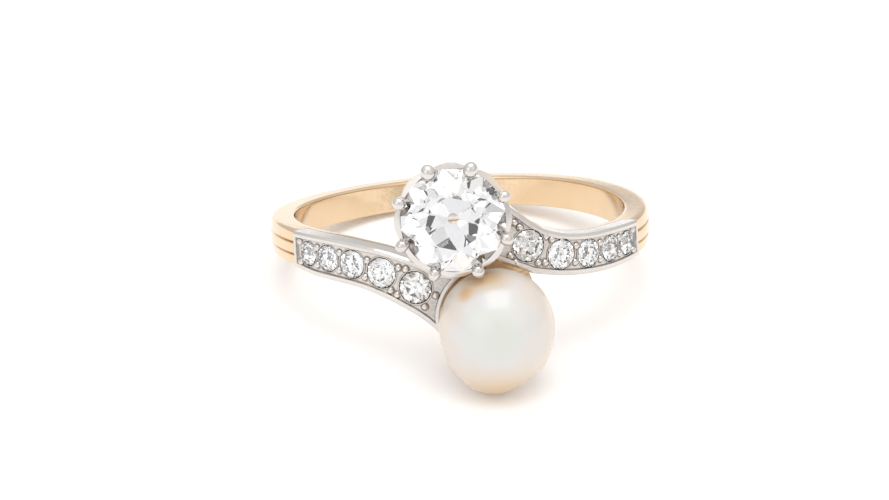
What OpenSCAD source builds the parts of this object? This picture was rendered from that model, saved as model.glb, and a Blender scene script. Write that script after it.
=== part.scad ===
// Toi et moi ring: a diamond in a claw collet and a pearl on a peg, side by side
// between two crossing shoulders set with small diamonds.
// Millimetres. In the ring's own frame +Z is the finger, -Y is the head and +X its right.
// The whole ring is then laid on a table, on its pearl and the back of its hoop.

/* [Finger hole and hoop] */
// Diameter of the finger hole
finger_d = 17.2; // [15:0.1:20]
// Thickness of the gold hoop
hoop_t = 1.3; // [1.2:0.05:1.6]
// Width of the hoop at the back
back_w = 1.55; // [1.3:0.05:2]
// How far the outside of the hoop is rounded
hoop_crown = 0.16; // [0.05:0.01:0.25]
// Depth of the two grooves beside each facing
groove_depth = 0.16; // [0.06:0.01:0.25]
// Angle over which the grooves run out towards the back
groove_reach = 34; // [20:1:50]

/* [Shoulders] */
// Width of a shoulder, which its sections follow
shoulder_w = 2; // [1.8:0.05:2.3]
// How far the arms sweep along the finger, which their sections follow
arm_sweep = 2; // [1.6:0.05:2.4]
// Angle from the head to the outer end of the left facing
left_end = 63.5; // [60:0.5:68]
// Angle from the head to the outer end of the right facing
right_end = 63.5; // [60:0.5:68]
// How far an arm's wall, on the side it sweeps to, leans out towards the finger
sweep_lean = 0.2; // [0:0.02:0.3]
// Thickness of the gold under the platinum facings
lining_t = 0.4; // [0.3:0.05:0.45]
// How far the facings' rims stand out past the hoop
rim_proud = 0.06; // [0:0.01:0.1]
// Width of the plain rims
rim_w = 0.28; // [0.2:0.01:0.34]
// Height of the rims over the floor between them
rim_h = 0.13; // [0.08:0.01:0.2]
// Width of the bevel along a facing's outer edges
bevel_w = 0.09; // [0.04:0.01:0.12]
// Depth of the bevel along a facing's outer edges
bevel_h = 0.12; // [0.05:0.01:0.16]

/* [Small diamonds] */
// Number of small diamonds on each shoulder
stones_per_arm = 5; // [3:1:5]
// Diameter of the outermost small diamonds
outer_stone_d = 1.25; // [1:0.05:1.35]
// Diameter of the innermost small diamonds
inner_stone_d = 1.65; // [1.4:0.05:1.75]
// Metal between two small diamonds of the left shoulder
left_bridge = 0.19; // [0.14:0.01:0.24]
// Metal between two small diamonds of the right shoulder
right_bridge = 0.24; // [0.16:0.01:0.3]
// From a facing's outer end to the middle of its first diamond
stone_lead = 1.3; // [1:0.05:1.6]
// Diameter of the setting grains
grain_d = 0.34; // [0.24:0.01:0.38]

/* [Old cut diamond] */
// Diameter of the large diamond
diamond_d = 5.3; // [4.8:0.1:5.8]
// Height of the crown over the girdle, as a share of the diameter
crown_share = 0.175; // [0.14:0.005:0.2]
// Depth of the pavilion under the girdle, as a share of the diameter
pavilion_share = 0.42; // [0.38:0.005:0.45]
// Width of the table, as a share of the diameter
table_share = 0.52; // [0.45:0.01:0.6]
// Width of the culet, as a share of the diameter
culet_share = 0.11; // [0.04:0.01:0.15]
// Angle of the diamond round the hoop from the head's middle
diamond_turn = -5; // [-8:0.5:-2]
// Turn of the diamond's facets about its own axis
facet_turn = 8; // [0:1:22]

/* [Collet] */
// Height of the collet from the gallery to the girdle
collet_h = 3.4; // [3.1:0.05:3.8]
// Diameter of the collet's foot
collet_foot_d = 3.6; // [3.2:0.1:4]
// How far each lobe of the collet's wall swells past the girdle
lobe_out = 0.18; // [0.1:0.02:0.3]
// Diameter of a claw at its foot
claw_d = 0.66; // [0.5:0.02:0.76]
// Diameter of the bead on each claw
bead_d = 0.62; // [0.5:0.02:0.7]
// Turn of the claws round the diamond
claw_turn = 1; // [-4:0.5:4]

/* [Pearl] */
// Diameter of the round part of the pearl
pearl_d = 5.9; // [5.4:0.02:6.3]
// Diameter of the pearl's narrower end
pearl_tip_d = 4.38; // [3.8:0.02:4.8]
// How far the narrower end lies along the finger from the round part
pearl_tip_drop = 1.25; // [0.8:0.05:1.5]
// Diameter of the pearl's fuller corner
pearl_corner_d = 2.48; // [2:0.02:2.9]
// Sideways place of the fuller corner
pearl_corner_side = 1.32; // [1:0.02:1.5]
// Angle of the pearl round the hoop from the head's middle
pearl_turn = 4; // [3:0.1:6]
// Diameter of the peg that holds the pearl
peg_d = 0.7; // [0.5:0.05:0.9]
// Length of the peg inside the pearl
peg_l = 2.4; // [1.8:0.1:3]

/* [Gallery] */
// Thickness of the gold plate under both stones
gallery_t = 0.85; // [0.7:0.05:1]
// Thickness of the gold left under the pearl's cup
cup_floor = 0.45; // [0.35:0.05:0.6]
// Diameter of the pearl's cup
cup_d = 4.2; // [3.6:0.1:4.6]
// Diameter of the open back under the diamond
open_back_d = 2.2; // [1.6:0.1:2.6]
// Sideways reach of the plate's corner between the stones
web_reach = 3.05; // [2.7:0.05:3.2]
// How far that corner lies along the finger from the pearl's middle
web_rise = 1.3; // [1:0.05:1.5]

/* [Fits] */
// Gap at a solder seam between gold and platinum
seam = 0.03; // [0.02:0.01:0.05]
// Gap round a stone in its seat
stone_fit = 0.03; // [0.02:0.01:0.05]
// Gap between the pearl and the nearest bead of the collet
stone_gap = 0.22; // [0.04:0.02:0.5]

/* [Rest] */
// How far the ring leans to its left as it lies by itself
lean = 2; // [0:0.1:6]

/* [Hidden] */
finger_r = finger_d / 2;
hoop_r = finger_r + hoop_t;
seat_r = finger_r + lining_t;
rim_r = hoop_r + rim_proud;
floor_r = rim_r - rim_h;
gallery_r = finger_r + gallery_t;
inner_end = 2;
groove_place = 0.34;
// No section lies in the plane that cuts an arm off at its facing's outer end.
off_plane = 0.6;
// Angles at which an arm's wall has its full lean and at which it stands square again
full_lean = 22;
no_lean = 52;
claws = 8;
bead_lift = 0.65 * bead_d;
girdle_share = 0.02;
// Share of the stones' distance that lies on the diamond's side of the hoop's middle
diamond_share = 0.522;
open = 20;

diamond_r = diamond_d / 2;
diamond_out = gallery_r + collet_h;
claw_circle = diamond_r + bead_d / 3;
pearl_r = pearl_d / 2;
pearl_out = finger_r + cup_floor + stone_fit + pearl_r;
hug_d = 1.19 * cup_d;
hug_side = 0.45 * hug_d;
pearl_disc_r = 0.583 * cup_d;
collet_disc_r = 0.528 * collet_foot_d;
claw_foot = collet_foot_d / 2 - claw_d / 4;
collet_low = -1.18 * collet_h;
claw_low = -1.09 * collet_h;

// The stones stand as far apart along the finger as the nearest claw's bead needs.
near_claw = -90 + 180 / claws + claw_turn;
near_bead = turned([claw_circle * cos(near_claw), -diamond_out - bead_lift], diamond_turn);
near_pearl = turned([0, -pearl_out], pearl_turn);
near_reach = pearl_r + bead_d / 2 + stone_gap;
stone_pitch = sqrt(pow(near_reach, 2) - pow(norm(near_bead - near_pearl), 2))
    - claw_circle * sin(near_claw);
diamond_up = stone_pitch * diamond_share;
pearl_up = diamond_up - stone_pitch;

// Sections of the two arms, written for an arm that sweeps towards +Z.
// along: share of the way from the facing's outer end to the head
// centre: middle of the section along the finger, as a share of arm_sweep
// width: as a share of shoulder_w
RIGHT_ARM = [
    [0, -0.17, 0.935],
    [0.24, -0.155, 1.03],
    [0.39, -0.135, 1.035],
    [0.52, -0.07, 1.055],
    [0.6, 0.01, 1.095],
    [0.68, 0.135, 1.17],
    [0.745, 0.29, 1.325],
    [0.8, 0.48, 1.43],
    [0.86, 0.68, 1.56],
    [1, 1.2, 1.95],
];
LEFT_ARM = [
    [0, -0.14, 0.93],
    [0.175, -0.09, 1.05],
    [0.325, -0.045, 1.09],
    [0.465, 0.045, 1.125],
    [0.595, 0.21, 1.245],
    [0.71, 0.45, 1.37],
    [0.77, 0.61, 1.445],
    [0.825, 0.8, 1.55],
    [0.9, 1.08, 1.85],
    [1, 1.3, 2.15],
];

// Outline of the hoop's section, from the bore round the outside and back.
// depth: share of hoop_t out from the bore, across: share of half the width
HOOP_SIDE = [
    [-0.15, 0.9],
    [0.12, 1],
    [0.65, 1],
    [0.88, 0.96],
];
HOOP_FACE = [-0.82, -0.64, -0.47, -groove_place, -0.21, 0, 0.21, groove_place, 0.47, 0.64, 0.82];

// A point of the plane turned by an angle about the finger
function turned(p, a) = [p[0] * cos(a) - p[1] * sin(a), p[0] * sin(a) + p[1] * cos(a)];

function mix(a, b, t) = a + (b - a) * t;

function ease(t) = let (u = min(1, max(0, t))) u * u * (3 - 2 * u);

// Smooth reading of column c at x from rows that are sorted by their first column
function slope(rows, c, i) =
    let (a = max(0, i - 1), b = min(len(rows) - 1, i + 1))
    (rows[b][c] - rows[a][c]) / (rows[b][0] - rows[a][0]);
function row_before(rows, x, i = 0) =
    i >= len(rows) - 2 || x < rows[i + 1][0] ? i : row_before(rows, x, i + 1);
function read(rows, x, c) =
    let (i = row_before(rows, x),
         h = rows[i + 1][0] - rows[i][0],
         t = (x - rows[i][0]) / h,
         a = rows[i][c],
         b = rows[i + 1][c])
    mix(a, b, t * t * (3 - 2 * t))
        + h * t * (1 - t) * ((1 - t) * slope(rows, c, i) - t * slope(rows, c, i + 1));

// An arm is named by its side: 1 is the right one, -1 the left one turned half way round.
function arm_rows(side) = side > 0 ? RIGHT_ARM : LEFT_ARM;
function arm_end(side) = side > 0 ? right_end : left_end;
function along(side, a) = (arm_end(side) - a) / (arm_end(side) - inner_end);
function behind(side, a) = (a - arm_end(side)) / (180 - arm_end(side));

// Middle and width of the ring's section at an angle from the head
function centre(side, a) = arm_sweep * (a < arm_end(side)
    ? read(arm_rows(side), along(side, a), 1)
    : arm_rows(side)[0][1] * (1 - ease(1.4 * behind(side, a))));
function width(side, a) = a < arm_end(side)
    ? shoulder_w * read(arm_rows(side), along(side, a), 2)
    : mix(shoulder_w * arm_rows(side)[0][2], back_w, ease(behind(side, a)));

function lean_out(a, r) =
    sweep_lean * ease((no_lean - a) / (no_lean - full_lean)) * (rim_r - r) / (rim_r - finger_r);

// How much longer a cut along the finger is than one square to the sloping arm
function lengthened(side, a) =
    let (d = 0.5, rise = (centre(side, a + d) - centre(side, a - d)) / (2 * d * PI / 180 * hoop_r))
    sqrt(1 + rise * rise);

// A point of a section at an angle, a radius and a height measured on the arm's own side
function on_ring(side, a, r, z) = [side * r * sin(a), -r * cos(a), side * z];

// Places of the small diamonds: the arc from the facing's end, then the angle from the head
function bridge(side) = side > 0 ? right_bridge : left_bridge;
function stone_d(i) = mix(outer_stone_d, inner_stone_d, (i - 1) / (stones_per_arm - 1));
function stone_arc(side, i) = i <= 1
    ? stone_lead
    : stone_arc(side, i - 1) + (stone_d(i - 1) + stone_d(i)) / 2 + bridge(side);
function stone_angle(side, i) = arm_end(side) - stone_arc(side, i) / floor_r * 180 / PI;

// A solid through rings of points, each ring the same number of points
module loft(rings) {
    n = len(rings);
    k = len(rings[0]);
    polyhedron(
        points = [for (ring = rings) each ring],
        faces = concat(
            [[for (i = [k - 1 : -1 : 0]) i]],
            [[for (i = [0 : k - 1]) (n - 1) * k + i]],
            [for (j = [0 : n - 2], i = [0 : k - 1])
                let (a = j * k + i, b = j * k + (i + 1) % k) each [[a, b, b + k], [a, b + k, a + k]]]
        )
    );
}

// The same, closed on itself: the last ring meets the first one
module closed_loft(rings) {
    n = len(rings);
    k = len(rings[0]);
    polyhedron(
        points = [for (ring = rings) each ring],
        faces = [for (j = [0 : n - 1], i = [0 : k - 1])
            let (a = j * k + i, b = j * k + (i + 1) % k, c = ((j + 1) % n) * k + i,
                 d = ((j + 1) % n) * k + (i + 1) % k)
            each [[a, b, d], [a, d, c]]]
    );
}

// A frame on the ring whose own +Z points straight out from the finger
module outward(turn, up) {
    rotate([0, 0, turn]) translate([0, 0, up]) rotate([90, 0, 0]) children();
}

module strut(from, to, r1, r2) {
    v = to - from;
    translate(from)
        rotate([0, acos(v[2] / norm(v)), atan2(v[1], v[0])])
            cylinder(h = norm(v), r1 = r1, r2 = r2, $fn = 32);
}

// Old cut diamond with its girdle at z = 0: table, stars, kites and halves over
// a thin girdle, then halves, mains and an open culet
module old_cut(d) {
    r = d / 2;
    g = girdle_share * d / 2;
    h = crown_share * d;
    p = pavilion_share * d;
    half = 22.5;
    rt = table_share * r;
    rs = mix(rt, r, 0.52);
    rl = 0.45 * r;
    rc = culet_share * r;
    zs = g + h * (r - rs * cos(half)) / (r - rt);
    zl = -g - p * (r - rl * cos(half)) / (r - rc * cos(half));
    at = function (q, a, z) [q * cos(a), q * sin(a), z];
    eight = [0 : 7];
    points = concat(
        [for (k = eight) at(rt, 2 * k * half, g + h)],
        [for (k = eight) at(rs, (2 * k + 1) * half, zs)],
        [for (k = [0 : 15]) at(r, k * half, g)],
        [for (k = [0 : 15]) at(r, k * half, -g)],
        [for (k = eight) at(rl, (2 * k + 1) * half, zl)],
        [for (k = eight) at(rc, (2 * k + 1) * half, -g - p)]
    );
    t = 0;
    s = 8;
    u = 16;
    w = 32;
    l = 48;
    c = 56;
    polyhedron(points = points, faces = concat(
        [[for (k = [7 : -1 : 0]) t + k]],
        [[for (k = eight) c + k]],
        [for (k = eight) let (n = (k + 1) % 8, m = (k + 7) % 8, e = 2 * k, o = e + 1, f = (e + 2) % 16)
            each [
                [t + k, t + n, s + k],
                [t + k, s + k, u + e, s + m],
                [s + k, u + o, u + e],
                [s + k, u + f, u + o],
                [u + e, u + o, w + o, w + e],
                [u + o, u + f, w + f, w + o],
                [l + k, w + e, w + o],
                [l + k, w + o, w + f],
                [w + e, l + k, c + k, c + m, l + m],
            ]]
    ));
}

// What an old cut stone of this diameter needs to sit in, open upwards
module old_cut_seat(d) {
    r = d / 2 + stone_fit;
    depth = pavilion_share * d + stone_fit;
    low = -girdle_share * d / 2 - stone_fit;
    translate([0, 0, low]) cylinder(r = r, h = open, $fn = 64);
    translate([0, 0, low - depth])
        cylinder(r1 = culet_share * d / 2 + stone_fit, r2 = r, h = depth, $fn = 64);
}

// The ring laid on the table, which is z = 0
module laid() {
    translate([0, -bed_middle, -bed_height]) rotate([-tip, -lean, 0]) children();
}

// The pearl as balls that a skin is drawn over: sideways, along the finger, radius
PEARL_BALLS = [
    [0, 0, pearl_r],
    [-0.18 * pearl_corner_side, -pearl_tip_drop, pearl_tip_d / 2],
    [pearl_corner_side, -1.02 * pearl_corner_side, pearl_corner_d / 2],
];
function ball_place(b) =
    let (p = turned([b[0], -pearl_out], pearl_turn)) [p[0], p[1], pearl_up + b[1]];
// The ring's front is tipped up until its pearl and its hoop's back lie on the table.
function upward(t) = [sin(lean), -sin(t) * cos(lean), cos(t) * cos(lean)];
function front_low(t) = min(
    min([for (b = PEARL_BALLS) ball_place(b) * upward(t) - b[2]]),
    concat(turned([0, -finger_r], pearl_turn), pearl_up - pearl_disc_r) * upward(t));
function hoop_low(t) =
    let (u = upward(t), across = norm([u[0], u[1]]))
    min([for (p = HOOP_SIDE) -p[1] * back_w / 2 * u[2] - (finger_r + p[0] * hoop_t) * across]);
function settle(low, high, n) =
    let (t = (low + high) / 2)
    n == 0 ? t : front_low(t) < hoop_low(t) ? settle(t, high, n - 1) : settle(low, t, n - 1);
tip = settle(0, 45, 24);
bed_height = min(front_low(tip), hoop_low(tip));
bed_front = min([for (b = PEARL_BALLS)
    let (p = ball_place(b)) p[1] * cos(tip) + p[2] * sin(tip) - b[2]]);
bed_back = max([for (s = HOOP_FACE)
    (hoop_r - hoop_crown * s * s) * cos(tip) + s * back_w / 2 * sin(tip)]);
bed_middle = (bed_front + bed_back) / 2;

// Rings of points of the hoop, from the right arm's inner end round the back to the left one's
function groove(side, a) =
    let (run = (a - arm_end(side)) / groove_reach)
    run < 0 ? groove_depth : groove_depth * (1 - ease(run));
function hoop_ring(side, a) =
    let (c = side * centre(side, a),
         w = width(side, a) / 2,
         face = function (s) hoop_r - hoop_crown * s * s
             - (abs(abs(s) - groove_place) < 0.01 ? groove(side, a) : 0),
         sides = [for (p = HOOP_SIDE) [finger_r + p[0] * hoop_t, p[1]]],
         outline = concat(
             [for (p = sides) [p[0], -p[1]]],
             [for (s = HOOP_FACE) [face(s), s]],
             [for (i = [len(sides) - 1 : -1 : 0]) sides[i]]))
    [for (p = outline) [
        side * p[0] * sin(a),
        -p[0] * cos(a),
        c + p[1] * w + (side * p[1] > 0 ? side * lean_out(a, p[0]) : 0)
    ]];
function hoop_angles(side) = concat(
    [for (i = [0 : 20]) mix(inner_end, arm_end(side) - off_plane, i / 20)],
    [for (i = [0 : 22]) mix(arm_end(side) + off_plane, 176, i / 22)]);

module gold_hoop() {
    left = hoop_angles(-1);
    loft(concat(
        [for (a = hoop_angles(1)) hoop_ring(1, a)],
        [hoop_ring(1, 180)],
        [for (i = [len(left) - 1 : -1 : 0]) hoop_ring(-1, left[i])]
    ));
}

// Space of the facings and of all that stands on the gold between their outer ends
module facing_room() {
    rotate([0, 0, -90 - left_end])
        rotate_extrude(angle = left_end + right_end, $fn = 180)
            translate([seat_r, -open]) square([open, 2 * open]);
}

// What the facings stop at by the head: the pearl and the collet's wall
module head_room(more) {
    outward(pearl_turn, pearl_up) {
        cylinder(d = hug_d + 2 * more, h = open, $fn = 96);
        translate([-hug_side, -open, 0]) cube([2 * hug_side, open, open]);
    }
    outward(diamond_turn, diamond_up) translate([0, 0, finger_r])
        cylinder(r1 = collet_r(finger_r - diamond_out) + seam + more, r2 = collet_r(0) + seam + more,
            h = diamond_out - finger_r, $fn = 96);
}

// Radius of the collet's wall, without its lobes, at a height from the girdle
function collet_r(w) = mix(collet_foot_d / 2, diamond_r + 0.1, (w + collet_h) / collet_h);

// Plate under both stones: a disc for each and a web between them. The room that the facings
// leave for it is larger all round by a gap.
module gallery(gap) {
    intersection() {
        cylinder(r = gallery_r + gap, h = 2 * open, center = true, $fn = 180);
        union() {
            outward(pearl_turn, pearl_up) cylinder(r = pearl_disc_r + gap, h = open, $fn = 96);
            outward(diamond_turn, diamond_up) cylinder(r = collet_disc_r + gap, h = open, $fn = 96);
            outward(0, 0) linear_extrude(open) polygon([
                [-collet_foot_d / 2 - gap, diamond_up - collet_foot_d / 12],
                [-cup_d / 2 - gap, pearl_up + cup_d / 8 - gap],
                [web_reach + gap, pearl_up + web_rise - gap],
                [0.44 * collet_foot_d + gap, diamond_up - collet_foot_d / 12],
            ]);
        }
    }
}

module pearl_cup() {
    difference() {
        outward(pearl_turn, pearl_up) cylinder(d = cup_d, h = pearl_out - pearl_r / 2, $fn = 96);
        outward(pearl_turn, pearl_up)
            translate([0, 0, pearl_out]) sphere(r = pearl_r + stone_fit, $fn = 96);
    }
}

module peg() {
    outward(pearl_turn, pearl_up)
        cylinder(d = peg_d, h = pearl_out - pearl_r + peg_l, $fn = 48);
}

// Gold: hoop, lining of the arms, gallery, cup and peg, soldered into one piece
module shank() laid() color("#e6c78c") {
    difference() {
        union() {
            difference() {
                gold_hoop();
                facing_room();
            }
            difference() {
                gallery(0);
                outward(pearl_turn, pearl_up)
                    translate([0, 0, pearl_out]) sphere(r = pearl_r + stone_fit, $fn = 96);
                for_stones(1);
                for_stones(-1);
            }
            pearl_cup();
            peg();
        }
        cylinder(r = finger_r, h = 2 * open, center = true, $fn = 180);
        outward(diamond_turn, diamond_up) cylinder(d = open_back_d, h = open, $fn = 64);
    }
}

function facing_angles(side) =
    let (end = arm_end(side) - seam * 180 / PI / seat_r)
    [for (i = [0 : 24]) mix(inner_end, end, i / 24)];

// Outside of a facing: a block with lightly bevelled shoulders
function facing_ring(side, a) =
    let (c = centre(side, a), w = width(side, a) / 2, b = bevel_w * lengthened(side, a),
         in = seat_r + seam, out = rim_r, low = rim_r - bevel_h)
    [for (p = [[in, -w], [low, -w], [out, b - w], [out, w - b], [low, w], [in, w]])
        on_ring(side, a, p[0], c + p[1] + (p[1] > 0 ? lean_out(a, p[0]) : 0))];

// Space between the rims
function channel_ring(side, a) =
    let (c = centre(side, a), w = width(side, a) / 2 - rim_w * lengthened(side, a))
    [for (p = [[floor_r, -w], [rim_r + 1, -w], [rim_r + 1, w], [floor_r, w]])
        on_ring(side, a, p[0], c + p[1])];

module for_stones(side) {
    for (i = [1 : stones_per_arm]) let (a = stone_angle(side, i))
        outward(side * a, side * centre(side, a)) translate([0, 0, floor_r]) old_cut_seat(stone_d(i));
}

// Two grains in each gap between neighbouring stones, clear of both. They stand square to the
// line from one stone to the next, which slopes as the arm does.
module grains(side) {
    for (i = [1 : stones_per_arm - 1], edge = [-1, 1])
        let (a = stone_angle(side, i), b = stone_angle(side, i + 1), mid = (a + b) / 2,
             half_arc = (a - b) / 2 * PI / 180 * floor_r,
             half_rise = (centre(side, b) - centre(side, a)) / 2,
             apart = norm([half_arc, half_rise]),
             reach = stone_d(i + 1) / 2 + 2 * stone_fit + grain_d / 2,
             clear = sqrt(max(0, reach * reach - apart * apart)),
             beside = width(side, mid) / 2 / lengthened(side, mid) - rim_w - grain_d / 3,
             out = edge * max(clear, beside) / apart)
        outward(side * (mid + out * half_rise * 180 / PI / floor_r),
                side * ((centre(side, a) + centre(side, b)) / 2 + out * half_arc))
            translate([0, 0, floor_r - grain_d / 16]) sphere(d = grain_d, $fn = 24);
}

// Platinum facing of one arm: rims, floor, seats and grains
module facing(side) {
    angles = facing_angles(side);
    inside = [for (a = angles) if (a < arm_end(side) - rim_w * 180 / PI / rim_r) a];
    difference() {
        union() {
            difference() {
                loft([for (a = angles) facing_ring(side, a)]);
                difference() {
                    loft([for (a = inside) channel_ring(side, a)]);
                    head_room(rim_w);
                }
                for_stones(side);
            }
            grains(side);
        }
        head_room(0);
        gallery(seam);
        all_claws(seam);
    }
}

module right_shoulder() laid() color("#d9dade") facing(1);

module left_shoulder() laid() color("#d9dade") facing(-1);

// Section of the collet's wall at an angle round the diamond
function collet_section(phi) =
    let (lobe = abs(sin(claws / 2 * (phi - 180 / claws - claw_turn))),
         rim = 0.03 * diamond_r - 0.045 * diamond_r * lobe,
         inside = 0.36 * collet_foot_d,
         seat = diamond_r + stone_fit,
         ledge = -girdle_share * diamond_r - stone_fit,
         under = 0.105 * diamond_r,
         point = function (r, w) [r * cos(phi), r * sin(phi), w])
    [
        point(collet_r(collet_low), collet_low),
        point(collet_r(-0.66 * collet_h) + 0.12 * lobe_out * lobe, -0.66 * collet_h),
        point(collet_r(-0.33 * collet_h) + 0.6 * lobe_out * lobe, -0.33 * collet_h),
        point(collet_r(-0.1 * collet_h) + 0.9 * lobe_out * lobe, -0.1 * collet_h),
        point(collet_r(0) + lobe_out * lobe, rim),
        point(seat, rim),
        point(seat, ledge),
        point(seat - under, ledge - under),
        point(inside, -0.7 * collet_h),
        point(inside, collet_low),
    ];

// Claws with their beads. The room that the facings leave for them is larger by a gap.
module all_claws(gap) {
    outward(diamond_turn, diamond_up) translate([0, 0, diamond_out])
        for (i = [0 : claws - 1]) let (phi = (i + 0.5) * 360 / claws + claw_turn,
            from = [claw_foot * cos(phi), claw_foot * sin(phi), claw_low],
            to = [claw_circle * cos(phi), claw_circle * sin(phi), bead_lift]) {
            strut(from, to, claw_d / 2 + gap, 0.48 * bead_d + gap);
            translate(to) sphere(d = bead_d + 2 * gap, $fn = 32);
        }
}

// The large diamond, larger all round by a share of its size where it is the claws' notches
module large_diamond(gap) {
    outward(diamond_turn, diamond_up) translate([0, 0, diamond_out]) rotate([0, 0, facet_turn])
        old_cut(diamond_d + 2 * gap);
}

// Platinum wall with lobes, and claws notched for the girdle. The notches stand back a little
// further than the wall does.
module collet() laid() color("#e2e3e6") {
    difference() {
        union() {
            outward(diamond_turn, diamond_up) translate([0, 0, diamond_out])
                closed_loft([for (i = [0 : 8 * claws - 1]) collet_section(i * 45 / claws)]);
            difference() {
                all_claws(0);
                large_diamond(1.5 * stone_fit);
            }
        }
        cylinder(r = gallery_r + seam, h = 2 * open, center = true, $fn = 180);
    }
}

module diamond() laid() color("#f4f6fa") large_diamond(0);

module pearl() laid() color("#efe6da") {
    difference() {
        hull() for (b = PEARL_BALLS) outward(pearl_turn, pearl_up)
            translate([b[0], b[1], pearl_out]) sphere(r = b[2], $fn = 48);
        outward(pearl_turn, pearl_up)
            cylinder(d = peg_d + 2 * stone_fit, h = pearl_out - pearl_r + peg_l + 3 * stone_fit,
                $fn = 48);
    }
}

module stone(side, i) laid() color("#f4f6fa") {
    a = stone_angle(side, i);
    outward(side * a, side * centre(side, a)) translate([0, 0, floor_r]) old_cut(stone_d(i));
}

shank();
left_shoulder();
right_shoulder();
collet();
diamond();
pearl();
for (i = [1 : stones_per_arm]) {
    stone(-1, i);
    stone(1, i);
}
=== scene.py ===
"""Toi et moi ring lying on its side on a pale table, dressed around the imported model.

Shapes are worked out in millimetres in the ring's own frame, as the part's source does:
+Z is the finger, -Y is the head, +X its right. laid() then lays them on the table.
"""

import math

import bmesh
import bpy
import numpy as np
from mathutils import Matrix, Vector


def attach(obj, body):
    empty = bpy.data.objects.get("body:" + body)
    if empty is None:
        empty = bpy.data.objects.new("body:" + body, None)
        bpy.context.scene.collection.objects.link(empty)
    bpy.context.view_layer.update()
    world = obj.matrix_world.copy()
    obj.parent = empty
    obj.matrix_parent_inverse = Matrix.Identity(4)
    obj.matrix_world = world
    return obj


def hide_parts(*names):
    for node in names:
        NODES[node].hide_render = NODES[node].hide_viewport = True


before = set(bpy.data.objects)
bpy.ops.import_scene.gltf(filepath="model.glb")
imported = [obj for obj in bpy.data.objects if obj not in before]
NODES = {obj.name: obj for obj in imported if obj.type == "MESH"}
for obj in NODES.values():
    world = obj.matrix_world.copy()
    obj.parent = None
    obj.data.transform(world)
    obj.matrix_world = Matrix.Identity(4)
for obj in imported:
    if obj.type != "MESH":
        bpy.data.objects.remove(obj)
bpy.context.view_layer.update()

MERGE = 1e-7            # metres under which points of a seam are one

# How the ring lies
TIP = 14.0795           # degrees that the head is tipped up
LEAN = 2.0              # degrees that the ring leans to its left
BED_HEIGHT = -3.11446   # mm, lowest point under the hoop's centre
BED_MIDDLE = -2.79844   # mm, middle of the box along Y


def rotation(axis, degrees):
    """Matrix that turns points about the X, Y or Z axis, numbered 0, 1 and 2."""
    c, s = math.cos(math.radians(degrees)), math.sin(math.radians(degrees))
    i, j = (axis + 1) % 3, (axis + 2) % 3
    made = np.eye(3)
    made[i, i], made[i, j], made[j, i], made[j, j] = c, -s, s, c
    return made


LAY = rotation(1, -LEAN) @ rotation(0, -TIP)


def laid(points):
    """Points of the ring's frame in mm, as points of the row frame in metres."""
    return (points @ LAY.T - [0, BED_MIDDLE, BED_HEIGHT]) * 0.001


# Materials
def linear(hex_colour):
    """An sRGB hex colour as the linear values that a shader takes."""
    parts = [int(hex_colour[i:i + 2], 16) / 255 for i in (1, 3, 5)]
    return [p / 12.92 if p <= 0.04045 else ((p + 0.055) / 1.055) ** 2.4 for p in parts] + [1.0]


def material(name):
    """A new material with its empty tree."""
    made = bpy.data.materials.new(name)
    made.use_nodes = True
    tree = made.node_tree
    tree.nodes.clear()
    return made, tree


def add(tree, kind, inputs=None, **settings):
    """A node of that kind with its settings. inputs gives, for the name or number of an input,
    the socket that feeds it or its own value."""
    node = tree.nodes.new(kind)
    for key, value in settings.items():
        setattr(node, key, value)
    for key, value in (inputs or {}).items():
        if isinstance(value, bpy.types.NodeSocket):
            tree.links.new(value, node.inputs[key])
        else:
            node.inputs[key].default_value = value
    return node


def per_mm(size):
    """Scale of a pattern on Object coordinates, which are metres, for features so many mm wide."""
    return 1000 / size


BUMP_HEIGHT = 0.00002   # metres, height of the finest relief of a skin or a polish


def worn_metal(name, clean, warm, shade_and_dirt, patch, wear, smooth, rough, relief):
    """Polished precious metal, worn soft. The eye sees patches of two tones some mm wide, a gloss
    that varies with fine handling wear, and painted shade with some dirt in its recesses, which
    takes the colour towards a dark tone. patch and wear are the patterns' widths in mm, smooth and
    rough the gloss, relief the strength of the marks."""
    made, tree = material(name)
    place = add(tree, "ShaderNodeTexCoord").outputs["Object"]
    patches = add(tree, "ShaderNodeTexNoise", {
        "Vector": place, "Scale": per_mm(patch), "Detail": 2.0}).outputs["Fac"]
    handling = add(tree, "ShaderNodeTexNoise", {
        "Vector": place, "Scale": per_mm(wear), "Detail": 6.0}).outputs["Fac"]
    recess_shade_and_dirt = add(tree, "ShaderNodeAttribute", attribute_name="recess_shade_and_dirt").outputs["Fac"]
    tone = add(tree, "ShaderNodeMix", {
        "Factor": patches, "A": linear(clean), "B": linear(warm)}, data_type="RGBA")
    # painted shade, with some dirt: the colour darkens towards the dark tone by the mesh's mask of
    # hollows
    colour = add(tree, "ShaderNodeMix", {
        "Factor": recess_shade_and_dirt, "A": tone.outputs["Result"], "B": linear(shade_and_dirt)}, data_type="RGBA")
    gloss = add(tree, "ShaderNodeMapRange", {
        "Value": handling, "From Min": 0.35, "From Max": 0.65, "To Min": smooth, "To Max": rough})
    # marks of the setter's tools, deeper in the recesses
    marks = add(tree, "ShaderNodeMapRange", {
        "Value": recess_shade_and_dirt, "From Min": 0.0, "From Max": 0.12, "To Min": 1.0, "To Max": 5.0})
    depth = add(tree, "ShaderNodeMath", {0: handling, 1: marks.outputs[0]}, operation="MULTIPLY")
    bump = add(tree, "ShaderNodeBump", {
        "Height": depth.outputs[0], "Strength": relief, "Distance": BUMP_HEIGHT})
    shader = add(tree, "ShaderNodeBsdfPrincipled", {
        "Base Color": colour.outputs["Result"], "Metallic": 1.0, "Roughness": gloss.outputs[0],
        "Normal": bump.outputs[0]})
    add(tree, "ShaderNodeOutputMaterial", {"Surface": shader.outputs[0]})
    return made


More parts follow.
